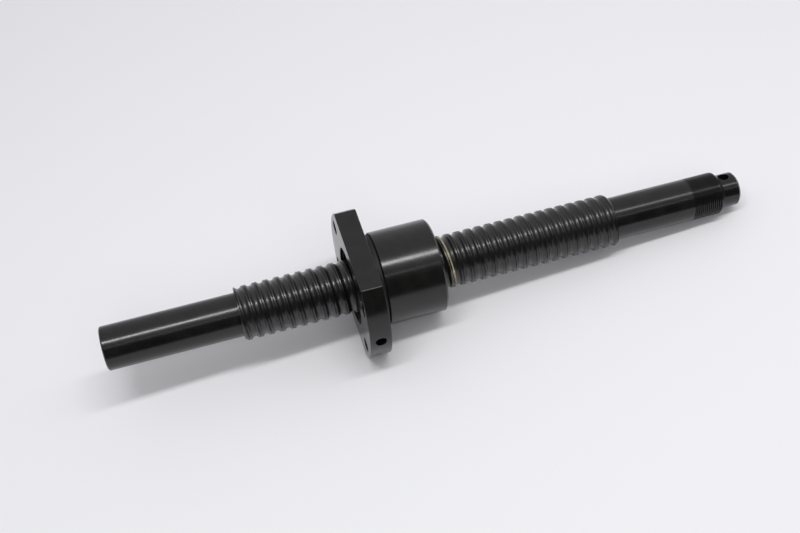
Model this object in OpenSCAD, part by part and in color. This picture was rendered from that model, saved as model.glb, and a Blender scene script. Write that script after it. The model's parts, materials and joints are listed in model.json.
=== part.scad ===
// Ball screw: a threaded shaft and a flanged ball nut with one return-tube circuit.
// X runs along the shaft, the origin is the middle of the flange's mounting face, Z is up.

/* [Screw shaft] */
// Outside diameter of the ball thread
screw_od = 25; // [24:0.5:26]
// Distance that the nut moves in one turn
lead = 5; // [4.8:0.1:5.4]
// Depth of the ball groove
groove_depth = 1.22; // [1.16:0.02:1.3]
// Length of the ball thread
thread_len = 176.9; // [150:0.1:260]
// Length of thread on the flange's open side, from the mounting face
thread_back = 61.4; // [40:0.1:80]
// Diameter of the plain journals
journal_d = 20; // [16:0.5:21]
// Length of the journal on the flange's open side
back_journal_len = 60.6; // [20:0.1:120]
// Length of the journal beside the lock thread
front_journal_len = 39.5; // [20:0.5:80]
// Chamfer at the shaft's plain end
shaft_chamfer = 0.6; // [0.3:0.1:1.5]

/* [Lock thread and tip] */
// Outside diameter of the lock thread
lock_d = 20; // [16:0.5:21]
// Pitch of the lock thread
lock_pitch = 1; // [0.75:0.25:1.5]
// Length of the lock thread
lock_len = 14; // [8:1:20]
// Diameter of the reduced tip
tip_d = 15.8; // [12:0.2:17]
// Length of the reduced tip
tip_len = 8.4; // [7:0.1:14]
// Chamfer at the end of the tip
tip_chamfer = 1; // [0.4:0.1:1.5]
// Diameter of the cross hole in the tip
tip_hole_d = 5; // [3:0.5:5.5]
// Distance of the cross hole from the start of the tip
tip_hole_place = 2.7; // [2.6:0.1:4]
// Angle of the cross hole from the Y axis
tip_hole_angle = 72; // [0:1:180]

/* [Nut] */
// Outside diameter of the nut body
nut_d = 43; // [43:0.5:48]
// Length of the nut over its flange
nut_len = 40; // [40:0.5:50]
// Chamfer at the nut's free end
nut_chamfer = 0.8; // [0.4:0.1:1.5]
// Diameter of the flange's round edge
flange_d = 67; // [64:0.5:76]
// Width of the flange over its flats
flange_flats = 50; // [48:1:56]
// Thickness of the flange
flange_t = 10; // [9.5:0.5:14]
// Chamfer round the flange
flange_chamfer = 0.5; // [0.3:0.1:1]
// Width of the relief between the mounting face and the nut body
relief_w = 2.6; // [1:0.1:3]
// Depth of the relief
relief_depth = 0.7; // [0.2:0.05:0.8]

/* [Flange holes] */
// Diameter of the circle that carries the bolt holes
bolt_circle_d = 55; // [54:0.5:58]
// Diameter of a bolt hole
bolt_hole_d = 6.6; // [4.5:0.1:7]
// Angle of each bolt hole from the Y axis
bolt_angle = 30; // [25:1:35]
// Diameter of the tapped grease port
port_d = 5; // [4:0.1:6]
// Depth of the tapped grease port
port_depth = 8; // [5:0.5:9]
// Diameter of the passage from the port to the balls
passage_d = 2.4; // [1.5:0.1:3]

/* [Wipers and rings] */
// Diameter of the recess that holds a wiper
recess_d = 35.6; // [35:0.2:37]
// Depth of the recess
recess_depth = 6; // [5.5:0.1:7]
// Distance of a wiper's outer face from the nut's face
wiper_setback = 2.4; // [2.2:0.1:3]
// Length of the wiper's lip along the thread
lip_len = 1.8; // [1:0.1:2.4]
// Radial height of the bevel in front of the lip
lip_bevel = 1; // [0.5:0.1:1.5]
// Gap between the wiper's lip and the thread
wiper_gap = 0.2; // [0.1:0.05:0.4]
// Thickness of a retaining ring
ring_t = 1; // [0.8:0.1:1.2]
// Radial width of a retaining ring
ring_w = 2.2; // [1.6:0.1:3]
// Depth of the ring's groove in the nut
ring_groove_depth = 0.8; // [0.5:0.1:1]

/* [Balls and return tube] */
// Diameter of a ball
ball_d = 3.175; // [3:0.005:3.2]
// Distance from the mounting face to the middle of the ball circuit
circuit_x = 11.5; // [11:0.05:13]
// Balls in one turn of the circuit
balls_per_turn = 25; // [20:1:25]
// Whole turns under load
loaded_turns = 2; // [2:1:2]
// Outside diameter of the return tube
tube_d = 4.3; // [4.25:0.05:4.5]
// Wall of the return tube
tube_wall = 0.45; // [0.4:0.05:0.5]
// Bend radius on the tube's centre line
tube_bend = 7; // [6.5:0.1:7.5]
// Wall between the ball track and the return tube
track_wall = 0.8; // [0.6:0.1:0.9]
// Length of the flat seat beyond the tube at each end
seat_margin = 1; // [0.6:0.1:1.4]
// Thickness of the tube clamp
clamp_t = 1; // [0.9:0.1:1.2]
// Width of the tube clamp
clamp_w = 5.6; // [5.2:0.1:5.8]
// Distance between the clamp screws
clamp_screw_span = 13; // [12:0.5:13.5]
// Thread diameter of the clamp screws
clamp_screw_d = 2.5; // [2.2:0.1:2.6]
// Length of the clamp screws
clamp_screw_len = 4.6; // [3.5:0.1:5]
// Head diameter of the clamp screws
clamp_head_d = 4.2; // [3.8:0.1:4.4]
// Height of the clamp screws' countersunk heads
clamp_head_t = 0.8; // [0.5:0.1:0.9]
// Width of the socket over its corners
socket_d = 1.5; // [1.2:0.1:1.7]
// Depth of the socket
socket_depth = 0.5; // [0.3:0.1:0.6]
// Depth of the tapped holes beyond the clamp screws
tapped_spare = 0.3; // [0.2:0.1:0.5]

/* [Fits] */
// Gap round a ball in its tracks
ball_gap = 0.05; // [0.03:0.01:0.08]
// Extra gap that lets the nut's flat facets clear the balls
track_gap = 0.2; // [0.18:0.01:0.25]
// Gap between the nut's bore and the thread
bore_gap = 0.35; // [0.3:0.05:0.5]
// Gap round a piece that sits in a bore or groove
seat_gap = 0.05; // [0.03:0.01:0.1]
// Gap between the tube's open ends and the nut's bore
leg_gap = 0.1; // [0.05:0.05:0.2]

/* [Hidden] */
$fn = 96;
ball_facets = 24;
cut = 1;

// Thread form: each groove is an arc of a few chords that all clear the ball
segments = 18;
groove_chords = 4;
track_r = ball_d / 2 + ball_gap;
ball_circle_r = screw_od / 2 - groove_depth + track_r;
groove_half_angle = acos((ball_circle_r - screw_od / 2) / track_r);
groove_vertex_r = track_r / cos(groove_half_angle / groove_chords);
thread_start = -thread_back;
thread_end = thread_len - thread_back;

// Places along the shaft
shaft_start = thread_start - back_journal_len;
lock_start = thread_end + front_journal_len;
lock_end = lock_start + lock_len;
lock_chamfer = (lock_d - tip_d) / 2;
tip_start = lock_end + lock_chamfer;
shaft_end = tip_start + tip_len;
tip_hole_x = tip_start + tip_hole_place;
iso_depth_share = 0.6134;
iso_crest_share = 0.125;
iso_flank_angle = 30;
lock_depth = lock_pitch * iso_depth_share;
lock_flank = lock_depth * tan(iso_flank_angle);
lock_crest = lock_pitch * iso_crest_share;
lock_turns = floor((lock_len - lock_pitch) / lock_pitch);

// Places in the nut
nut_r = nut_d / 2;
nut_end = nut_len - flange_t;
bore_r = screw_od / 2 + bore_gap;
recess_r = recess_d / 2;
ring_r = recess_r + ring_groove_depth - seat_gap;
ring_inner_r = ring_r - ring_w;
ring_slot = ring_t + 2 * seat_gap;
ring_face = wiper_setback - seat_gap - ring_slot;
wiper_t = recess_depth - wiper_setback;
port_x = -flange_t / 2;
passage_start = flange_d / 2 - port_depth + cut;
passage_reach = passage_start - ball_circle_r;

// Ball circuit: it starts at angle 0 and ends half a turn past the whole turns
circuit_angle = 360 * loaded_turns + 180;
circuit_len = lead * circuit_angle / 360;
circuit_start = circuit_x - circuit_len / 2;
ball_step = 360 / balls_per_turn;
ball_spacing = norm([2 * PI * ball_circle_r, lead]) / balls_per_turn;
lead_slope = lead / (2 * PI * ball_circle_r);

// Return tube: a U in an upright plane that holds both ends of the circuit
tube_r = tube_d / 2;
tube_bore_r = tube_r - tube_wall;
tube_z = ball_circle_r + ball_d / 2 + track_wall + tube_r;
tube_half_span = norm([circuit_len / 2, ball_circle_r]);
tube_turn = atan2(-ball_circle_r, circuit_len / 2);
bend_len = PI / 2 * tube_bend;
half_crossing = tube_half_span - tube_bend;
leg_top = sqrt(pow(bore_r, 2) - pow(ball_circle_r - tube_r, 2)) + leg_gap;
leg_len = tube_z - tube_bend;
return_len = 2 * (leg_len + bend_len + half_crossing);
clamp_seat = tube_z + tube_r + seat_gap;
clamp_top = clamp_seat + clamp_t;
seat_half_len = circuit_len / 2 + tube_r + seat_margin;

// Corners of one groove and the land behind it, as distance along X and radius
function groove_point(i) =
    let (a = groove_half_angle * (2 * i / groove_chords - 1))
    [groove_vertex_r * sin(a), ball_circle_r - groove_vertex_r * cos(a)];
function thread_corner(m) =
    let (p = groove_point(m % (groove_chords + 1)), turn = floor(m / (groove_chords + 1)))
    [p[0] + lead * turn, min(p[1], screw_od / 2)];

// Right-hand screw surface from first_turn to last_turn, closed at both ends on the axis
module screw_thread(first_turn, last_turn) {
    per_turn = groove_chords + 1;
    rows = per_turn * (last_turn - first_turn) + 1;
    left_x = circuit_start + lead * (first_turn + 0.5);
    right_x = circuit_start + lead * (last_turn + 0.5);
    points = [for (m = [0:rows - 1], j = [0:segments - 1])
        let (c = thread_corner(m), a = 360 * j / segments)
        [circuit_start + lead * first_turn + c[0] + lead * j / segments, c[1] * cos(a), c[1] * sin(a)]];
    left_hub = len(points);
    right_hub = left_hub + 1;
    function at(m, j) = (j == segments ? (m + per_turn) * segments : m * segments + j);
    walls = [for (m = [0:rows - 2], j = [0:segments - 1])
        if (j < segments - 1 || m + 1 + per_turn < rows)
        [at(m, j), at(m + 1, j), at(m + 1, j + 1), at(m, j + 1)]];
    left_edge = concat([for (j = [0:segments]) at(0, j)],
        [for (m = [per_turn - 1:-1:1]) at(m, 0)]);
    right_edge = concat([for (j = [0:segments - 1]) at(rows - 1, j)],
        [for (m = [rows - 2:-1:rows - 1 - per_turn]) at(m, segments - 1)]);
    left_cap = [for (i = [0:len(left_edge) - 1])
        [left_hub, left_edge[i], left_edge[(i + 1) % len(left_edge)]]];
    right_cap = [for (i = [0:len(right_edge) - 1])
        [right_hub, right_edge[(i + 1) % len(right_edge)], right_edge[i]]];
    polyhedron(concat(points, [[left_x, 0, 0], [right_x, 0, 0]]), concat(walls, left_cap, right_cap),
        convexity = 10);
}

// Solid of revolution round the X axis from [distance along X, radius] corners
module turned(corners) {
    rotate([0, 90, 0]) rotate_extrude() polygon([for (c = corners) [c[1], c[0]]]);
}

// Round bar along X between two places
module bar(from_x, to_x, r) {
    translate([from_x, 0, 0]) rotate([0, 90, 0]) cylinder(h = to_x - from_x, r = r);
}

// The thread's solid runs past both of its ends, and a bar trims it to the flat shoulders
module screw_shaft() {
    first_turn = floor((thread_start - circuit_start) / lead) - 2;
    last_turn = ceil((thread_end - circuit_start) / lead) + 1;
    color([0.12, 0.12, 0.13]) difference() {
        union() {
            intersection() {
                screw_thread(first_turn, last_turn);
                bar(thread_start, thread_end, screw_od);
            }
            turned([[shaft_start, 0], [shaft_start, journal_d / 2 - shaft_chamfer],
                [shaft_start + shaft_chamfer, journal_d / 2], [thread_start + lead, journal_d / 2],
                [thread_start + lead, 0]]);
            bar(thread_end - lead, lock_start, journal_d / 2);
            lock_thread();
            turned([[lock_end - cut, 0], [lock_end - cut, tip_d / 2],
                [shaft_end - tip_chamfer, tip_d / 2], [shaft_end, tip_d / 2 - tip_chamfer],
                [shaft_end, 0]]);
        }
        rotate([tip_hole_angle, 0, 0]) translate([tip_hole_x, 0, 0]) rotate([90, 0, 0])
            cylinder(h = tip_d + 2 * cut, r = tip_hole_d / 2, center = true);
    }
}

// Lock thread as a row of ridges, one for each turn, with a chamfer down to the tip
module lock_thread() {
    crest_r = lock_d / 2;
    root_r = crest_r - lock_depth;
    turn = [[lock_flank, root_r], [lock_pitch - lock_crest - lock_flank, root_r],
        [lock_pitch - lock_crest, crest_r], [lock_pitch, crest_r]];
    turned(concat([[lock_start - cut, 0], [lock_start - cut, crest_r], [lock_start, crest_r]],
        [for (i = [0:lock_turns - 1], corner = turn) [lock_start + lock_pitch * i + corner[0], corner[1]]],
        [[lock_end, crest_r], [tip_start, tip_d / 2], [tip_start, 0]]));
}

// Helical ball track inside the nut, which runs on past the tube by the angle run_on at each end
module nut_track() {
    sides = 8;
    run_on = 30;
    track_vertex_r = (track_r + track_gap) / cos(180 / sides);
    steps = round((circuit_angle + 2 * run_on) / 360 * segments);
    centre_r = ball_circle_r + track_gap;
    points = [for (i = [0:steps], s = [0:sides - 1])
        let (a = 360 * i / segments - run_on, b = 360 * (s + 0.5) / sides,
            r = centre_r + track_vertex_r * cos(b))
        [circuit_start + lead * a / 360 + track_vertex_r * sin(b), r * cos(a), r * sin(a)]];
    faces = concat([[for (s = [sides - 1:-1:0]) s]],
        [for (i = [0:steps - 1], s = [0:sides - 1])
            [i * sides + s, i * sides + (s + 1) % sides, (i + 1) * sides + (s + 1) % sides,
            (i + 1) * sides + s]],
        [[for (s = [0:sides - 1]) steps * sides + s]]);
    polyhedron(points, faces, convexity = 10);
}

// Puts its children in the plane of the return tube, with X across the two legs
module in_tube_plane() {
    translate([circuit_x, 0, 0]) rotate([0, 0, tube_turn]) children();
}

// Sweeps its flat section along the tube's path, with the legs starting at the height leg_top
module along_tube() {
    in_tube_plane() for (side = [-1, 1]) {
        translate([side * tube_half_span, 0, -leg_len]) linear_extrude(height = leg_len - leg_top)
            children();
        translate([side * half_crossing, 0, -leg_len]) rotate([90, 0, 0])
            rotate([0, 0, side > 0 ? -90 : 180])
            rotate_extrude(angle = 90) translate([tube_bend, 0]) mirror([0, 1]) children();
        translate([side > 0 ? 0 : -half_crossing, 0, -tube_z]) rotate([0, 90, 0])
            linear_extrude(height = half_crossing) children();
    }
}

// The tube is pressed from two halves that meet in its own plane
module return_tube_half(side) {
    color([0.72, 0.73, 0.74]) along_tube() intersection() {
        difference() {
            circle(r = tube_r);
            circle(r = tube_bore_r);
        }
        translate([-tube_d, side > 0 ? 0 : -tube_d]) square([2 * tube_d, tube_d]);
    }
}

module return_tube_front_half() {
    return_tube_half(-1);
}

module return_tube_rear_half() {
    return_tube_half(1);
}

// Outline of the flange: a disc with two flats and chamfered edges
module flange_blank() {
    r = flange_d / 2;
    c = flange_chamfer;
    h = flange_flats / 2;
    intersection() {
        turned([[-flange_t, 0], [-flange_t, r - c], [-flange_t + c, r], [-c, r], [0, r - c], [0, 0]]);
        rotate([90, 0, 0]) linear_extrude(height = flange_d + 2 * cut, center = true)
            polygon([[-flange_t, -h + c], [-flange_t + c, -h], [-c, -h], [0, -h + c],
                [0, h - c], [-c, h], [-flange_t + c, h], [-flange_t, h - c]]);
    }
}

module nut_body() {
    neck_r = nut_r - relief_depth;
    color([0.16, 0.16, 0.17]) difference() {
        union() {
            flange_blank();
            turned([[-cut, 0], [-cut, neck_r], [relief_w, neck_r], [relief_w + relief_depth, nut_r],
                [nut_end - nut_chamfer, nut_r], [nut_end, nut_r - nut_chamfer], [nut_end, 0]]);
        }
        bar(-flange_t - cut, nut_end + cut, bore_r);
        bar(-flange_t - cut, -flange_t + recess_depth, recess_r);
        bar(nut_end - recess_depth, nut_end + cut, recess_r);
        bar(-flange_t + ring_face, -flange_t + ring_face + ring_slot, recess_r + ring_groove_depth);
        bar(nut_end - ring_face - ring_slot, nut_end - ring_face, recess_r + ring_groove_depth);
        nut_track();
        bolt_holes();
        grease_port();
        tube_pocket();
    }
}

module bolt_holes() {
    for (a = [bolt_angle, 180 - bolt_angle, 180 + bolt_angle, -bolt_angle])
        rotate([a, 0, 0]) translate([-flange_t - cut, bolt_circle_d / 2, 0]) rotate([0, 90, 0])
            cylinder(h = flange_t + 2 * cut, r = bolt_hole_d / 2);
}

// Tapped port in the flange's round edge, with a slanted passage to the ball track
module grease_port() {
    translate([port_x, -flange_d / 2 - cut, 0]) rotate([-90, 0, 0])
        cylinder(h = port_depth + cut, r = port_d / 2);
    translate([port_x, -passage_start, 0]) rotate([0, 0, atan2(passage_reach, circuit_start - port_x)])
        rotate([0, 90, 0]) cylinder(h = norm([passage_reach, circuit_start - port_x]), r = passage_d / 2);
}

// Flat seat, slot and leg holes for the return tube, and the clamp's tapped holes
module tube_pocket() {
    slot_r = tube_r + seat_gap;
    translate([circuit_x - seat_half_len, -nut_r, -nut_d])
        cube([2 * seat_half_len, nut_d, nut_d - clamp_seat]);
    in_tube_plane() {
        for (side = [-1, 1]) translate([side * tube_half_span, 0, -nut_d]) cylinder(h = nut_d, r = slot_r);
        rotate([90, 0, 0]) linear_extrude(height = 2 * slot_r, center = true) difference() {
            translate([-tube_half_span, -nut_d]) square([2 * tube_half_span, nut_d - leg_len]);
            translate([-half_crossing, -tube_z + slot_r]) square([2 * half_crossing, tube_z - slot_r]);
            for (side = [-1, 1]) translate([side * half_crossing, -leg_len]) circle(r = tube_bend - slot_r);
        }
        for (side = [-1, 1]) translate([0, side * clamp_screw_span / 2, -clamp_seat - cut])
            cylinder(h = clamp_screw_len - clamp_t + tapped_spare + cut, r = clamp_screw_d / 2 + seat_gap);
    }
}

// Wiper ring whose lip runs close to the thread
module wiper_ring(outer_x, inward) {
    lip_r = screw_od / 2 + wiper_gap;
    rim_r = recess_r - seat_gap;
    inner_x = outer_x + inward * wiper_t;
    color([0.09, 0.09, 0.09]) turned([[outer_x, lip_r + lip_bevel], [outer_x, rim_r], [inner_x, rim_r],
        [inner_x, lip_r], [inner_x - inward * lip_len, lip_r]]);
}

module flange_wiper() {
    wiper_ring(-flange_t + wiper_setback, 1);
}

module end_wiper() {
    wiper_ring(nut_end - wiper_setback, -1);
}

module retaining_ring(from_x) {
    color([0.2, 0.2, 0.21]) difference() {
        bar(from_x, from_x + ring_t, ring_r);
        bar(from_x - cut, from_x + ring_t + cut, ring_inner_r);
    }
}

module flange_retaining_ring() {
    retaining_ring(-flange_t + ring_face + seat_gap);
}

module end_retaining_ring() {
    retaining_ring(nut_end - ring_face - seat_gap - ring_t);
}

// Strap across the tube, rounded off round its two countersunk holes
module tube_clamp() {
    color([0.45, 0.46, 0.47]) difference() {
        in_tube_plane() translate([0, 0, -clamp_top]) linear_extrude(height = clamp_t) {
            square([clamp_w, clamp_screw_span], center = true);
            for (side = [-1, 1]) translate([0, side * clamp_screw_span / 2]) circle(r = clamp_w / 2);
        }
        in_tube_plane() for (side = [-1, 1]) translate([0, side * clamp_screw_span / 2, -clamp_top]) {
            translate([0, 0, -cut]) cylinder(h = clamp_t + 2 * cut, r = clamp_screw_d / 2 + seat_gap);
            cylinder(h = clamp_head_t, r1 = clamp_head_d / 2 + seat_gap, r2 = clamp_screw_d / 2 + seat_gap);
        }
    }
}

module clamp_screw(side) {
    color([0.7, 0.7, 0.71]) in_tube_plane() translate([0, side * clamp_screw_span / 2, -clamp_top])
        difference() {
            union() {
                cylinder(h = clamp_screw_len, r = clamp_screw_d / 2);
                cylinder(h = clamp_head_t, r1 = clamp_head_d / 2, r2 = clamp_screw_d / 2);
            }
            translate([0, 0, -cut]) cylinder(h = cut + socket_depth, r = socket_d / 2, $fn = 6);
        }
}

module clamp_screw_near_flange() {
    clamp_screw(-1);
}

module clamp_screw_near_end() {
    clamp_screw(1);
}

// Balls on the helix, from the first to the last number counted from the circuit's start
module loaded_balls(first, last) {
    color([0.8, 0.8, 0.82]) for (i = [first:last])
        let (a = ball_step * (i + 0.5))
        translate([circuit_start + lead * a / 360, ball_circle_r * cos(a), ball_circle_r * sin(a)])
            sphere(r = ball_d / 2, $fn = ball_facets);
}

module loaded_balls_first_turn() {
    loaded_balls(0, balls_per_turn - 1);
}

module loaded_balls_second_turn() {
    loaded_balls(balls_per_turn, 2 * balls_per_turn - 1);
}

module loaded_balls_last_half_turn() {
    loaded_balls(2 * balls_per_turn, floor(circuit_angle / ball_step) - 1);
}

// Place on the return path at a distance from the circuit's start, in the tube's plane
function half_path(d) =
    d < leg_len ? [tube_half_span, -d] :
    d < leg_len + bend_len ? let (a = 90 * (d - leg_len) / bend_len)
        [tube_half_span - tube_bend * (1 - cos(a)), -leg_len - tube_bend * sin(a)] :
    [tube_half_span - tube_bend - (d - leg_len - bend_len), -tube_z];

// Balls on their way back, which follow the thread's slope until they are inside the tube
module return_balls() {
    count = floor(return_len / ball_spacing) - 1;
    first = (return_len - (count - 1) * ball_spacing) / 2;
    color([0.8, 0.8, 0.82]) for (i = [0:count - 1])
        let (d = first + i * ball_spacing, side = d > return_len / 2 ? 1 : -1,
            p = half_path(min(d, return_len - d)), out = max(0, leg_top + p[1]) * lead_slope)
        in_tube_plane() rotate([0, 0, -tube_turn]) translate([side * out, 0, 0]) rotate([0, 0, tube_turn])
            translate([side * p[0], 0, p[1]]) sphere(r = ball_d / 2, $fn = ball_facets);
}

screw_shaft();
nut_body();
flange_wiper();
end_wiper();
flange_retaining_ring();
end_retaining_ring();
return_tube_front_half();
return_tube_rear_half();
tube_clamp();
clamp_screw_near_flange();
clamp_screw_near_end();
loaded_balls_first_turn();
loaded_balls_second_turn();
loaded_balls_last_half_turn();
return_balls();
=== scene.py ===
# Black-coated ball screw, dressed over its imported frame. Lengths are metres, X runs along the shaft.
import json
import math
import bmesh
import bpy
import numpy as np
from mathutils import Matrix, Vector


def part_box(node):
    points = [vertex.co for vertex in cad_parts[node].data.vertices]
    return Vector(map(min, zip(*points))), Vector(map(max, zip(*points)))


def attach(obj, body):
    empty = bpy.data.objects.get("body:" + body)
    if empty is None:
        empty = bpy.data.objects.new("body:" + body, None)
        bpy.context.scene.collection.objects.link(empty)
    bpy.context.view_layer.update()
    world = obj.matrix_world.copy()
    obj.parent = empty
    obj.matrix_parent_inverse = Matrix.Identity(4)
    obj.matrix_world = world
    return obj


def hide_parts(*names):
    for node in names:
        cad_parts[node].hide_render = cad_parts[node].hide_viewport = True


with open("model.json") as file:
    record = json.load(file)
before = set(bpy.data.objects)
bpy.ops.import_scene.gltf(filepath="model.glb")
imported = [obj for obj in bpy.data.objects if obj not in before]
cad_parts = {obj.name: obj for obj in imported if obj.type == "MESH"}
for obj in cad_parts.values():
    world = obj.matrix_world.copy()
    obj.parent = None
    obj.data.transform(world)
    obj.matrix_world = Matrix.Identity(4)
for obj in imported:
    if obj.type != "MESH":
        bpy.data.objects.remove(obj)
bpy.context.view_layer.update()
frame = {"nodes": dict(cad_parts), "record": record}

MM = 0.001
TURN = 2 * math.pi

# Places and sizes that the frame gives
shaft_low, shaft_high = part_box("screw_shaft")
nut_low, nut_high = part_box("nut_body")
SHAFT_START = shaft_low.x
SHAFT_END = shaft_high.x
THREAD_R = shaft_high.z
FLANGE_BACK = nut_low.x
NUT_END = nut_high.x
FLANGE_R = nut_high.y
FLANGE_HALF_FLATS = nut_high.z

# Screw shaft
LEAD = 5 * MM
THREAD_START = -61.4 * MM
THREAD_END = 115.5 * MM
GROOVE_START = 5.25 * MM
BALL_CIRCLE_R = 12.9175 * MM
TRACK_R = 1.6375 * MM
LIP_R = 0.6 * MM
SEAM_HALF = 0.2 * MM
SEAM_DEPTH = 0.26 * MM
JOURNAL_R = 10 * MM
SHAFT_CHAMFER = 0.6 * MM
LOCK_LEN = 14 * MM
LOCK_START = THREAD_END + 39.5 * MM
LOCK_PITCH = 1 * MM
LOCK_DEPTH = 0.6 * LOCK_PITCH
TIP_R = 7.9 * MM
TIP_CHAMFER = 1 * MM
TIP_HOLE_R = 2.5 * MM
TIP_HOLE_PLACE = 2.7 * MM
TIP_HOLE_ANGLE = math.radians(72)

# Dried grease on the thread
GREASE_START = GROOVE_START + 27.66 * MM
GREASE_LEAD = 6.85 * MM

# Nut
NUT_R = 21.5 * MM
NUT_CHAMFER = 0.8 * MM
NECK_LEN = 2.6 * MM
NECK_DEPTH = 0.7 * MM
EDGE_R = 0.5 * MM
CORNER_R = 0.9 * MM
RECESS_R = 17.8 * MM
RECESS_DEPTH = 6 * MM
RECESS_EDGE = 0.25 * MM
RING_SLOT_FROM = 1.25 * MM
RING_SLOT_TO = 2.35 * MM
RING_SLOT_R = 18.6 * MM
BORE_R = 12.85 * MM
TRACK_TURNS = 2.5
BOLT_CIRCLE_R = 27.5 * MM
BOLT_HOLE_R = 3.3 * MM
BOLT_ANGLE = math.radians(30)
HOLE_CHAMFER = 0.3 * MM
PORT_R = 2.5 * MM
PORT_DEPTH = 8 * MM

# Return tube's pocket
TUBE_R = 2.15 * MM
TUBE_BEND = 7 * MM
SLOT_R = TUBE_R + 0.05 * MM
TUBE_Z = 17.455 * MM
CIRCUIT_HALF = TRACK_TURNS * LEAD / 2
CIRCUIT_X = GROOVE_START + CIRCUIT_HALF
TUBE_HALF_SPAN = math.hypot(CIRCUIT_HALF, BALL_CIRCLE_R)
TUBE_TURN = math.atan2(-BALL_CIRCLE_R, CIRCUIT_HALF)
SEAT_Z = TUBE_Z + SLOT_R
SEAT_HALF = CIRCUIT_HALF + TUBE_R + 1 * MM


def mesh_object(name, points, faces):
    """A mesh piece at the origin."""
    mesh = bpy.data.meshes.new(name)
    mesh.from_pydata([tuple(p) for p in points], [], [tuple(f) for f in faces])
    mesh.validate()
    piece = bpy.data.objects.new(name, mesh)
    bpy.context.scene.collection.objects.link(piece)
    smooth(mesh)
    return piece


def smooth(mesh, angle=35):
    """Smooth shading, apart from edges sharper than the angle in degrees."""
    mesh.shade_smooth()
    mesh.set_sharp_from_angle(angle=math.radians(angle))


def face_outward(mesh):
    form = bmesh.new()
    form.from_mesh(mesh)
    bmesh.ops.recalc_face_normals(form, faces=form.faces[:])
    form.to_mesh(mesh)
    form.free()


def add_bevel(piece, width):
    bevel = piece.modifiers.new("soft edges", "BEVEL")
    bevel.width = width
    bevel.segments = 2
    bevel.limit_method = "ANGLE"
    bevel.angle_limit = math.radians(40)
    bevel.harden_normals = True
    return piece


def lathe(name, profile, segments=144):
    """A turned piece from [x, radius] corners, closed where the radius is nought."""
    points = []
    faces = []
    rings = []
    for x, r in profile:
        start = len(points)
        if r == 0:
            points.append((x, 0, 0))
            rings.append([start] * segments)
            continue
        for j in range(segments):
            a = TURN * j / segments
            points.append((x, r * math.cos(a), r * math.sin(a)))
        rings.append(list(range(start, start + segments)))
    for left, right in zip(rings, rings[1:]):
        for j in range(segments):
            k = (j + 1) % segments
            corners = [left[j], left[k], right[k], right[j]]
            faces.append(list(dict.fromkeys(corners)))
    return mesh_object(name, points, faces)


def tube(name, points, sides):
    """A closed piece from loops of as many points as it has sides, one loop after the other."""
    faces = [tuple(range(sides)), tuple(range(len(points) - sides, len(points)))]
    for start in range(0, len(points) - sides, sides):
        for j in range(sides):
            k = (j + 1) % sides
            faces.append((start + j, start + k, start + sides + k, start + sides + j))
    piece = mesh_object(name, points, faces)
    face_outward(piece.data)
    return piece


def apply_modifiers(piece):
    """Turns a piece with modifiers into a plain mesh."""
    graph = bpy.context.evaluated_depsgraph_get()
    mesh = bpy.data.meshes.new_from_object(piece.evaluated_get(graph))
    piece.modifiers.clear()
    piece.data = mesh
    smooth(mesh)


def cut_away(piece, cutters):
    """Cuts each of the cutters out of the piece and removes them."""
    for cutter in cutters:
        cut = piece.modifiers.new("cut", "BOOLEAN")
        cut.operation = "DIFFERENCE"
        cut.solver = "EXACT"
        cut.object = cutter
    apply_modifiers(piece)
    for cutter in cutters:
        bpy.data.objects.remove(cutter)


# Threads

def groove_profile():
    """[distance along X, radius] corners of the ball thread from one groove's middle to the next."""
    reach = math.sqrt((TRACK_R + LIP_R) ** 2 - (BALL_CIRCLE_R - THREAD_R + LIP_R) ** 2)
    lip_angle = math.asin(reach / (TRACK_R + LIP_R))
    arc = [lip_angle * i / 6 for i in range(7)]
    half = [(TRACK_R * math.sin(a), BALL_CIRCLE_R - TRACK_R * math.cos(a)) for a in arc]
    for i in range(1, 6):
        a = lip_angle * (1 - i / 5)
        half.append((reach - LIP_R * math.sin(a), THREAD_R - LIP_R + LIP_R * math.cos(a)))
    half.append((LEAD / 2 - SEAM_HALF, THREAD_R - 0.01 * MM))
    seam = [(LEAD / 2, THREAD_R - SEAM_DEPTH)]
    mirrored = [(LEAD - x, r) for x, r in reversed(half[1:])]
    return half + seam + mirrored


def lock_profile():
    """The same for the lock thread, from one crest to the next."""
    flank = LOCK_DEPTH * math.tan(math.radians(30))
    crest = LOCK_PITCH * 0.12
    edge = 0.04 * MM
    r = JOURNAL_R
    return [(0, r - edge / 2), (edge, r), (crest, r), (crest + edge, r - edge / 2),
            (crest + flank, r - LOCK_DEPTH), (LOCK_PITCH - flank, r - LOCK_DEPTH)]


def thread(name, profile, pitch, phase_x, start, end, steps=104):
    """A right-hand screw surface between two flat ends, closed at both."""
    per_turn = len(profile)
    first = math.floor((start - phase_x) / pitch) - 2
    last = math.ceil((end - phase_x) / pitch) + 1
    rows = per_turn * (last - first)
    points = []
    for m in range(rows):
        x, r = profile[m % per_turn]
        row_x = phase_x + pitch * (first + m // per_turn) + x
        for j in range(steps):
            a = TURN * j / steps
            points.append((row_x + pitch * j / steps, r * math.cos(a), r * math.sin(a)))
    faces = []
    for m in range(rows - 1):
        for j in range(steps):
            wrapped = j == steps - 1
            if wrapped and m + 1 + per_turn >= rows:
                continue
            low = (m + per_turn) * steps if wrapped else m * steps + j + 1
            high = (m + 1 + per_turn) * steps if wrapped else (m + 1) * steps + j + 1
            faces.append((m * steps + j, low, high, (m + 1) * steps + j))
    piece = mesh_object(name, points, faces)
    trim(piece, start, end)
    return piece


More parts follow.
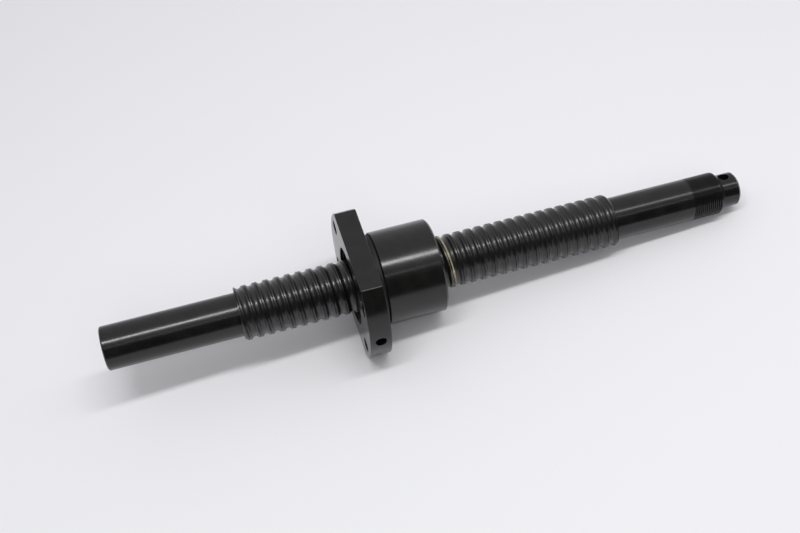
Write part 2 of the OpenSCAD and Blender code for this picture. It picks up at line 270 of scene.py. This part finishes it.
def trim(piece, start, end):
    """Cuts a thread flat at both ends and closes it."""
    form = bmesh.new()
    form.from_mesh(piece.data)
    for x, side in ((start, -1), (end, 1)):
        everything = form.verts[:] + form.edges[:] + form.faces[:]
        cut = bmesh.ops.bisect_plane(form, geom=everything, dist=1e-7, plane_co=(x, 0, 0),
                                     plane_no=(side, 0, 0), clear_outer=True)
        edges = [e for e in cut["geom_cut"] if isinstance(e, bmesh.types.BMEdge)]
        centre = form.verts.new((x, 0, 0))
        for edge in edges:
            form.faces.new((*edge.verts, centre))
    bmesh.ops.recalc_face_normals(form, faces=form.faces[:])
    form.to_mesh(piece.data)
    form.free()
    smooth(piece.data)


def crest_r_at(offset):
    """Radius of the ball thread at a distance along X from a groove's middle."""
    xs, rs = zip(*groove_profile(), (LEAD, BALL_CIRCLE_R - TRACK_R))
    return float(np.interp(offset % LEAD, xs, rs))


# Shaft

def make_back_journal():
    r = JOURNAL_R
    profile = [(SHAFT_START, 0), (SHAFT_START, r - SHAFT_CHAMFER), (SHAFT_START + SHAFT_CHAMFER, r),
               (THREAD_START + 1 * MM, r), (THREAD_START + 1 * MM, 0)]
    return add_bevel(lathe("shaft_back_journal", profile), 0.12 * MM)


def make_ball_thread():
    return thread("shaft_ball_thread", groove_profile(), LEAD, GROOVE_START, THREAD_START, THREAD_END)


def make_front_journal():
    profile = [(THREAD_END - 1 * MM, 0), (THREAD_END - 1 * MM, JOURNAL_R), (LOCK_START, JOURNAL_R),
               (LOCK_START, 0)]
    return add_bevel(lathe("shaft_front_journal", profile), 0.12 * MM)


def make_lock_thread():
    """The lock thread, turned down to the tip by a chamfer at its end."""
    end = LOCK_START + LOCK_LEN
    piece = thread("shaft_lock_thread", lock_profile(), LOCK_PITCH, LOCK_START, LOCK_START,
                   end + JOURNAL_R - TIP_R, steps=96)
    for vertex in piece.data.vertices:
        x, y, z = vertex.co
        r = math.hypot(y, z)
        limit = JOURNAL_R - max(0, x - end)
        if r > limit:
            vertex.co = (x, y * limit / r, z * limit / r)
    smooth(piece.data, 20)
    return piece


def make_tip():
    start = LOCK_START + LOCK_LEN
    profile = [(start, 0), (start, TIP_R), (SHAFT_END - TIP_CHAMFER, TIP_R),
               (SHAFT_END, TIP_R - TIP_CHAMFER), (SHAFT_END, 0)]
    piece = lathe("shaft_tip", profile)
    hole = lathe("tip_hole_cutter", [(-2 * TIP_R, 0), (-2 * TIP_R, TIP_HOLE_R), (2 * TIP_R, TIP_HOLE_R),
                                     (2 * TIP_R, 0)], segments=64)
    x = start + JOURNAL_R - TIP_R + TIP_HOLE_PLACE
    hole.matrix_world = (Matrix.Translation((x, 0, 0)) @ Matrix.Rotation(TIP_HOLE_ANGLE, 4, "X")
                         @ Matrix.Rotation(math.pi / 2, 4, "Z"))
    cut_away(piece, [hole])
    return add_bevel(piece, 0.15 * MM)


def make_grease_line(name, offset, width, degrees):
    """Dried grease that the wiper left on the thread: a thin bead that drifts off the crest."""
    steps = 150
    height = 0.09 * MM
    skin = 0.01 * MM
    shares = (-1, -0.5, 0, 0.5, 1)
    loop = [(s, height * (1 - s * s), skin) for s in shares] + [(s, 0, -skin) for s in reversed(shares)]
    first_angle, last_angle = (math.radians(d) for d in degrees)
    points = []
    for i in range(steps + 1):
        t = i / steps
        a = first_angle + (last_angle - first_angle) * t
        middle = GREASE_START + offset + GREASE_LEAD * a / TURN
        taper = max(0.05, min(1, 12 * t, 12 * (1 - t)))
        local_width = taper * width * (1 + 0.24 * math.sin(7.3 * a) + 0.16 * math.sin(19 * a + 1))
        for share, bulge, lift in loop:
            x = middle + share * local_width / 2
            r = crest_r_at(x - GROOVE_START - LEAD * a / TURN) + bulge * taper + lift
            points.append((x, r * math.cos(a), r * math.sin(a)))
    return tube(name, points, len(loop))


# Nut

def flange_outline(inset):
    """(angle, y, z) round the flange, a disc with two flats and rounded corners, moved in by inset."""
    centre_y = math.sqrt((FLANGE_R - CORNER_R) ** 2 - (FLANGE_HALF_FLATS - CORNER_R) ** 2)
    centre_z = FLANGE_HALF_FLATS - CORNER_R
    arc_end = math.atan2(centre_z, centre_y)
    quarter = []
    for i in range(25):
        a = arc_end * i / 24
        quarter.append(((FLANGE_R - inset) * math.cos(a), (FLANGE_R - inset) * math.sin(a)))
    for i in range(1, 7):
        a = arc_end + (math.pi / 2 - arc_end) * i / 6
        quarter.append((centre_y + (CORNER_R - inset) * math.cos(a),
                        centre_z + (CORNER_R - inset) * math.sin(a)))
    flat_z = FLANGE_HALF_FLATS - inset
    quarter += [(centre_y * (1 - i / 16), flat_z) for i in range(1, 17)]
    upper = quarter + [(-y, z) for y, z in reversed(quarter[:-1])]
    return upper + [(-y, -z) for y, z in upper[1:-1]]


def nut_rings():
    """Rings round the nut's whole skin: out over the flange, along the body, and back through the bore."""
    circle_angles = [math.atan2(z, y) for y, z in flange_outline(0)]

    def circle(x, r):
        return [(x, r * math.cos(a), r * math.sin(a)) for a in circle_angles]

    def outline(x, inset):
        return [(x, y, z) for y, z in flange_outline(inset)]

    rings = [circle(FLANGE_BACK, RECESS_R + RECESS_EDGE)]
    for i in range(5):
        a = math.pi / 2 * i / 4
        rings.append(outline(FLANGE_BACK + EDGE_R * (1 - math.cos(a)), EDGE_R * (1 - math.sin(a))))
    for i in range(5):
        a = math.pi / 2 * (1 - i / 4)
        rings.append(outline(-EDGE_R * (1 - math.cos(a)), EDGE_R * (1 - math.sin(a))))
    neck_r = NUT_R - NECK_DEPTH
    for x, r in ((0, neck_r), (NECK_LEN, neck_r), (NECK_LEN + NECK_DEPTH, NUT_R),
                 (NUT_END - NUT_CHAMFER, NUT_R), (NUT_END, NUT_R - NUT_CHAMFER)):
        rings.append(circle(x, r))
    inner = [(0, RECESS_R + RECESS_EDGE), (RECESS_EDGE, RECESS_R), (RING_SLOT_FROM, RECESS_R),
             (RING_SLOT_FROM, RING_SLOT_R), (RING_SLOT_TO, RING_SLOT_R), (RING_SLOT_TO, RECESS_R),
             (RECESS_DEPTH, RECESS_R), (RECESS_DEPTH, BORE_R)]
    rings += [circle(NUT_END - x, r) for x, r in inner]
    rings += [circle(FLANGE_BACK + x, r) for x, r in reversed(inner[1:])]
    return rings


def bolt_hole_cutter(number, angle):
    """A hole through the flange with a small chamfer at each face."""
    over = 1 * MM
    wide = BOLT_HOLE_R + HOLE_CHAMFER
    profile = [(FLANGE_BACK - over, 0), (FLANGE_BACK - over, wide + over),
               (FLANGE_BACK + HOLE_CHAMFER, BOLT_HOLE_R), (-HOLE_CHAMFER, BOLT_HOLE_R),
               (over, wide + over), (over, 0)]
    cutter = lathe(f"bolt_hole_cutter_{number}", profile, segments=64)
    place = (0, BOLT_CIRCLE_R * math.cos(angle), BOLT_CIRCLE_R * math.sin(angle))
    cutter.matrix_world = Matrix.Translation(place)
    return cutter


def port_cutter():
    """The grease port, drilled into the flange's round edge."""
    over = 1 * MM
    profile = [(-over, 0), (-over, PORT_R + HOLE_CHAMFER + over), (HOLE_CHAMFER, PORT_R),
               (PORT_DEPTH, PORT_R), (PORT_DEPTH + PORT_R / 2, 0)]
    cutter = lathe("port_cutter", profile, segments=64)
    inward = Matrix.Rotation(math.pi / 2, 4, "Z")
    cutter.matrix_world = Matrix.Translation((FLANGE_BACK / 2, -FLANGE_R, 0)) @ inward
    return cutter


def pocket_cutters():
    """The flat seat under the clamp, the slot for the tube's crossing and the holes for its legs."""
    deep = 2 * NUT_R
    seat = mesh_object("seat_cutter", [(x, y, z) for x in (CIRCUIT_X - SEAT_HALF, CIRCUIT_X + SEAT_HALF)
                                       for y in (-deep, deep) for z in (-deep, -SEAT_Z)],
                       [(0, 1, 3, 2), (4, 6, 7, 5), (0, 4, 5, 1), (2, 3, 7, 6), (0, 2, 6, 4), (1, 5, 7, 3)])
    outline = [(-TUBE_HALF_SPAN, -deep), (-TUBE_HALF_SPAN, -TUBE_Z + TUBE_BEND)]
    half_crossing = TUBE_HALF_SPAN - TUBE_BEND
    inner_bend = TUBE_BEND - SLOT_R
    for i in range(13):
        a = math.pi + math.pi / 2 * i / 12
        outline.append((-half_crossing + inner_bend * math.cos(a),
                        -TUBE_Z + TUBE_BEND + inner_bend * math.sin(a)))
    outline += [(-x, z) for x, z in reversed(outline)]
    points = [(x, y, z) for y in (-SLOT_R, SLOT_R) for x, z in outline]
    count = len(outline)
    faces = [tuple(range(count)), tuple(range(2 * count - 1, count - 1, -1))]
    faces += [(i, i + count, (i + 1) % count + count, (i + 1) % count) for i in range(count)]
    slot = mesh_object("slot_cutter", points, faces)
    to_tube_plane = Matrix.Translation((CIRCUIT_X, 0, 0)) @ Matrix.Rotation(TUBE_TURN, 4, "Z")
    slot.matrix_world = to_tube_plane
    cutters = [seat, slot]
    for side in (-1, 1):
        leg = lathe(f"leg_cutter_{side}", [(0, 0), (0, SLOT_R), (deep, SLOT_R), (deep, 0)], segments=48)
        leg.matrix_world = (to_tube_plane @ Matrix.Translation((side * TUBE_HALF_SPAN, 0, 0))
                            @ Matrix.Rotation(math.pi / 2, 4, "Y"))
        cutters.append(leg)
    return cutters


def track_cutter():
    """A tube round the balls' path through the nut, which opens a track in the wall of the bore."""
    steps = 190
    sides = 20
    over = TRACK_R / BALL_CIRCLE_R
    points = []
    for i in range(steps + 1):
        a = (TRACK_TURNS * TURN + 2 * over) * i / steps - over
        for j in range(sides):
            b = TURN * j / sides
            r = BALL_CIRCLE_R + TRACK_R * math.cos(b)
            x = GROOVE_START + LEAD * a / TURN + TRACK_R * math.sin(b)
            points.append((x, r * math.cos(a), r * math.sin(a)))
    return tube("track_cutter", points, sides)


def make_nut():
    rings = nut_rings()
    count = len(rings[0])
    points = [p for ring in rings for p in ring]
    faces = []
    for i in range(len(rings)):
        a, b = i * count, (i + 1) % len(rings) * count
        for j in range(count):
            k = (j + 1) % count
            faces.append((a + j, b + j, b + k, a + k))
    piece = mesh_object("nut_shell", points, faces)
    face_outward(piece.data)
    angles = (BOLT_ANGLE, math.pi - BOLT_ANGLE, math.pi + BOLT_ANGLE, -BOLT_ANGLE)
    holes = [bolt_hole_cutter(i, a) for i, a in enumerate(angles)]
    cut_away(piece, holes + [port_cutter(), track_cutter()] + pocket_cutters())
    weighted = piece.modifiers.new("even shading", "WEIGHTED_NORMAL")
    weighted.keep_sharp = True
    return piece


# Materials

class Value:
    """A node's output with arithmetic, so that a material reads as formulas."""

    def __init__(self, nodes, socket):
        self.nodes = nodes
        self.socket = socket

    def math(self, operation, *others):
        return self.nodes.node("Math", dict(enumerate((self, *others))), operation=operation)

    def __add__(self, other):
        return self.math("ADD", other)

    def __sub__(self, other):
        return self.math("SUBTRACT", other)

    def __rsub__(self, other):
        return self * -1 + other

    def __mul__(self, other):
        return self.math("MULTIPLY", other)

    __radd__ = __add__
    __rmul__ = __mul__


class Nodes:
    """A node tree, with shorthand for the nodes that its formulas use."""

    def __init__(self, tree, place="Object"):
        self.tree = tree
        self.place = self.node("TexCoord", output=place)

    def node(self, kind, inputs=None, output=0, **settings):
        """A node with its settings and its sockets' values or links, as the value of one output."""
        node = self.tree.nodes.new("ShaderNode" + kind)
        for key, value in settings.items():
            setattr(node, key, value)
        for key, value in (inputs or {}).items():
            self.connect(node.inputs[key], value)
        return Value(self, node.outputs[output])

    def connect(self, entry, value):
        if isinstance(value, Value):
            self.tree.links.new(value.socket, entry)
        else:
            entry.default_value = value

    def axes(self):
        return [self.node("SeparateXYZ", {0: self.place}, axis) for axis in "XYZ"]

    def noise(self, scale, detail=3, roughness=0.5, stretch=None):
        place = self.place
        if stretch:
            place = self.node("VectorMath", {0: place, 1: stretch}, operation="MULTIPLY")
        return self.node("TexNoise", {"Vector": place, "Scale": scale, "Detail": detail,
                                      "Roughness": roughness}, "Fac")

    def step(self, value, low, high):
        """Nought below low, one above high, smooth between."""
        return self.node("MapRange", {"Value": value, "From Min": low, "From Max": high}, "Result",
                         interpolation_type="SMOOTHSTEP")

    def mix(self, share, first, second):
        return self.node("Mix", {0: share, 6: first, 7: second}, 2, data_type="RGBA")


class Finish(Nodes):
    """A material on one Principled shader."""

    def __init__(self, name, **constants):
        self.material = bpy.data.materials.new(name)
        self.material.use_nodes = True
        super().__init__(self.material.node_tree)
        self.shader = self.tree.nodes["Principled BSDF"]
        for entry, value in constants.items():
            self.shader.inputs[entry.replace("_", " ")].default_value = value

    def feed(self, entry, value):
        self.connect(self.shader.inputs[entry], value)

    def bump(self, height, distance):
        self.feed("Normal", self.node("Bump", {"Height": height, "Distance": distance}))


def painted_flank_shade(coat):
    """Mask for painted shade: one on the flank of each ball groove that lies in shade, nought elsewhere."""
    x, y, z = coat.axes()
    turn = z.math("ARCTAN2", y) * (1 / TURN)
    phase = ((x - GROOVE_START) * (1 / LEAD) - turn).math("FRACT")
    return coat.step(phase, 0.62, 0.66) * (1 - coat.step(phase, 0.72, 0.78))


def relief_groove_painted_shade(coat):
    """Mask for painted shade and a duller finish: one in the groove between the nut's flange and its body,
    nought elsewhere.
    """
    x, y, z = coat.axes()
    along = coat.step(x, 0.02 * MM, 0.1 * MM) * (1 - coat.step(x, NECK_LEN, NECK_LEN + NECK_DEPTH))
    r = (y * y + z * z).math("SQRT")
    return along * coat.step(r, BORE_R + 4 * MM, BORE_R + 5 * MM)


def black_coat(name, rough, turned=True, painted_shade_groove=None, shade=0.6, dull=0, **shine):
    """Black oxide on ground steel: faint mottling, turning marks, oil that blurs the shine in places.

    A groove gets painted shade: its colour is darkened towards black by the share shade, and it is roughened
    by dull.
    """
    coat = Finish(name, Metallic=0.0, **(shine or {"IOR": 1.5}))
    mottle = coat.noise(180, 4, 0.6)
    oil = coat.noise(38, 3, 0.55)
    grain = coat.noise(2600, 2, 0.5, (1, 0.05, 0.05)) if turned else coat.noise(2200, 2, 0.5)
    dark = coat.mix(coat.step(mottle, 0.35, 0.7), (0.0052, 0.0054, 0.0052, 1), (0.0095, 0.0095, 0.0088, 1))
    dust = coat.step(coat.noise(900, 2, 0.6), 0.66, 0.74) * coat.step(oil, 0.45, 0.65)
    colour = coat.mix(dust * 0.35, dark, (0.06, 0.055, 0.045, 1))
    roughness = rough + coat.step(oil, 0.3, 0.7) * 0.05 + (grain - 0.5) * 0.06
    if painted_shade_groove:
        painted_shade_mask = painted_shade_groove(coat)
        # painted shade: the groove's colour is mixed towards near black
        colour = coat.mix(painted_shade_mask * shade, colour, (0.002, 0.002, 0.002, 1))
        roughness = roughness + painted_shade_mask * dull
    coat.feed("Base Color", colour)
    coat.feed("Roughness", roughness)
    coat.bump(grain + mottle * 0.5, 0.0014 * MM)
    return coat.material


def bright_steel(name, base, rough):
    """Bare or plated steel with fine scratches and slightly dull patches."""
    steel = Finish(name, Metallic=1.0)
    patches = steel.noise(260, 3, 0.6)
    scratches = steel.noise(2400, 2, 0.5, (0.08, 1, 1))
    dull = tuple(0.7 * c for c in base[:3]) + (1,)
    steel.feed("Base Color", steel.mix(steel.step(patches, 0.35, 0.75), base, dull))
    steel.feed("Roughness", rough + patches * 0.1 + scratches * 0.08)
    steel.bump(scratches, 0.002 * MM)
    return steel.material


def moulded_plastic(name):
    """Black wiper plastic with a fine grain and a film of grease."""
    plastic = Finish(name, Metallic=0.0, IOR=1.47)
    grain = plastic.noise(3200, 2, 0.6)
    film = plastic.noise(120, 3, 0.5)
    plastic.feed("Base Color", plastic.mix(plastic.step(film, 0.4, 0.7), (0.008, 0.008, 0.008, 1),
                                           (0.02, 0.019, 0.016, 1)))
    plastic.feed("Roughness", 0.42 + film * 0.2)
    plastic.bump(grain, 0.006 * MM)
    return plastic.material


def dried_grease(name):
    """Cream-yellow grease, dry and crumbly."""
    grease = Finish(name, Metallic=0.0)
    lumps = grease.noise(1500, 4, 0.65)
    stain = grease.noise(260, 3, 0.5)
    grease.feed("Base Color", grease.mix(grease.step(stain, 0.35, 0.7), (0.43, 0.4, 0.27, 1),
                                         (0.25, 0.22, 0.14, 1)))
    grease.feed("Roughness", 0.55 + lumps * 0.3)
    grease.bump(lumps, 0.05 * MM)
    return grease.material


def pale_floor(name):
    floor = Finish(name, Metallic=0.0)
    tone = floor.noise(6, 3, 0.5)
    floor.feed("Base Color", floor.mix(tone, (0.845, 0.845, 0.875, 1), (0.86, 0.86, 0.885, 1)))
    floor.feed("Roughness", 0.75 + tone * 0.1)
    return floor.material


def finish(piece, material):
    piece.data.materials.clear()
    piece.data.materials.append(material)


def dress(piece, material, body, node=None):
    """A new piece that rides on a body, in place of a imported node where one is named."""
    finish(piece, material)
    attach(piece, body)
    if node:
        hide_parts(node)


# Camera

def make_camera():
    """The photo's view, found from the outlines of the journals, the flange and the thread."""
    azimuth, elevation, roll = math.radians(-14.717), math.radians(52.949), math.radians(-2.468)
    back = Vector((math.sin(azimuth) * math.cos(elevation), -math.cos(azimuth) * math.cos(elevation),
                   math.sin(elevation)))
    right = Vector((math.cos(azimuth), math.sin(azimuth), 0))
    up = back.cross(right)
    rolled_right = right * math.cos(roll) + up * math.sin(roll)
    rolled_up = up * math.cos(roll) - right * math.sin(roll)
    data = bpy.data.cameras.new("camera")
    data.sensor_width = 36
    data.lens = 52.856
    camera = bpy.data.objects.new("camera", data)
    bpy.context.scene.collection.objects.link(camera)
    camera.matrix_world = Matrix.Translation((-0.0677, -0.30945, 0.42876)) @ Matrix(
        (rolled_right, rolled_up, back)).transposed().to_4x4()
    bpy.context.scene.camera = camera


# Floor and light

def make_floor():
    """The flange's lower flat and the end of the lock thread rest on the floor, which tilts to touch both."""
    low_end = Vector((LOCK_START + LOCK_LEN, 0, -JOURNAL_R))
    flange_edge = Vector((0, 0, -FLANGE_HALF_FLATS))
    slope = math.atan2(low_end.z - flange_edge.z, low_end.x - flange_edge.x)
    half = 3
    floor = mesh_object("floor", [(x, y, 0) for x in (-half, half) for y in (-half, half)], [(0, 2, 3, 1)])
    floor.matrix_world = Matrix.Translation(flange_edge) @ Matrix.Rotation(-slope, 4, "Y")
    floor.data.materials.append(pale_floor("pale floor"))


def strip_light(name, place, length, width, power):
    """A long lamp along X that faces the shaft."""
    data = bpy.data.lights.new(name, "AREA")
    data.shape = "RECTANGLE"
    data.size = length
    data.size_y = width
    data.energy = power
    lamp = bpy.data.objects.new(name, data)
    bpy.context.scene.collection.objects.link(lamp)
    back = Vector((0, place[1], place[2])).normalized()
    side = Vector((1, 0, 0))
    turned = Matrix((side, back.cross(side), back)).transposed().to_4x4()
    lamp.matrix_world = Matrix.Translation(place) @ turned
    return lamp


def fill_light(name, place, length, width, power):
    """A weak broad lamp that only softens the shadows in front of the shaft."""
    lamp = strip_light(name, place, length, width, power)
    lamp.visible_glossy = False


def make_world():
    """A pale room behind and above the shaft, which gets dim in front of it."""
    world = bpy.data.worlds.new("room")
    bpy.context.scene.world = world
    world.use_nodes = True
    sky = Nodes(world.node_tree, "Generated")
    tilt = math.radians(60)
    lean = sky.node("VectorMath", {0: sky.place, 1: (0, math.sin(tilt), math.cos(tilt))}, "Value",
                    operation="DOT_PRODUCT")
    background = sky.tree.nodes["Background"].inputs
    sky.connect(background["Strength"], 0.02 + 0.58 * sky.step(lean, -0.34, 0.34))
    sky.connect(background["Color"], (0.985, 0.985, 1, 1))


make_camera()

shaft_coat = black_coat("black shaft coating", 0.17)
# The ball thread's coat paints shade onto the shaded flank of each groove.
thread_coat = black_coat("black thread coating", 0.29, turned=False, painted_shade_groove=painted_flank_shade,
                         IOR=1.46, Coat_Weight=0.4, Coat_Roughness=0.2)
lock_coat = black_coat("black lock thread coating", 0.17, turned=False)
# The nut's coat paints shade into the relief groove behind the flange and makes it rougher there.
nut_coat = black_coat("black nut coating", 0.17, painted_shade_groove=relief_groove_painted_shade, shade=0.8, dull=0.45)
grease = dried_grease("dried grease")

for piece, coat in ((make_back_journal(), shaft_coat), (make_front_journal(), shaft_coat),
                    (make_tip(), shaft_coat), (make_ball_thread(), thread_coat),
                    (make_lock_thread(), lock_coat)):
    dress(piece, coat, "screw", "screw_shaft")
for piece in (make_grease_line("dried_grease_line", 0, 0.85 * MM, (20, 262)),
              make_grease_line("dried_grease_trace", -1.1 * MM, 0.22 * MM, (95, 205))):
    dress(piece, grease, "screw")
dress(make_nut(), nut_coat, "nut", "nut_body")

slot_finishes = {
    "wiper_plastic": moulded_plastic("wiper plastic"),
    "ring_steel": bright_steel("blackened spring steel", (0.06, 0.06, 0.062, 1), 0.3),
    "tube_steel": bright_steel("drawn tube steel", (0.5, 0.5, 0.5, 1), 0.22),
    "clamp_steel": bright_steel("pressed clamp steel", (0.3, 0.3, 0.31, 1), 0.32),
    "screw_steel": bright_steel("plated screw steel", (0.55, 0.55, 0.56, 1), 0.25),
    "ball_steel": bright_steel("polished ball steel", (0.7, 0.7, 0.71, 1), 0.08),
}
replaced = {"screw_shaft", "nut_body"}
for part in frame["record"]["subparts"]:
    if part["node"] not in replaced:
        finish(frame["nodes"][part["node"]], slot_finishes[part["material_slot"]])

make_floor()
strip_light("overhead strip", (-0.05, -0.09, 0.9), 0.75, 0.085, 3.7)
strip_light("overhead strip's far end", (0.6, -0.09, 0.9), 0.55, 0.1, 0.75)
strip_light("second strip", (0.15, -0.5, 0.75), 1.2, 0.02, 0.3)
fill_light("front fill", (0.1, -1.6, 1.6), 1.6, 1.2, 9)
make_world()
bpy.context.scene.view_settings.view_transform = "Standard"
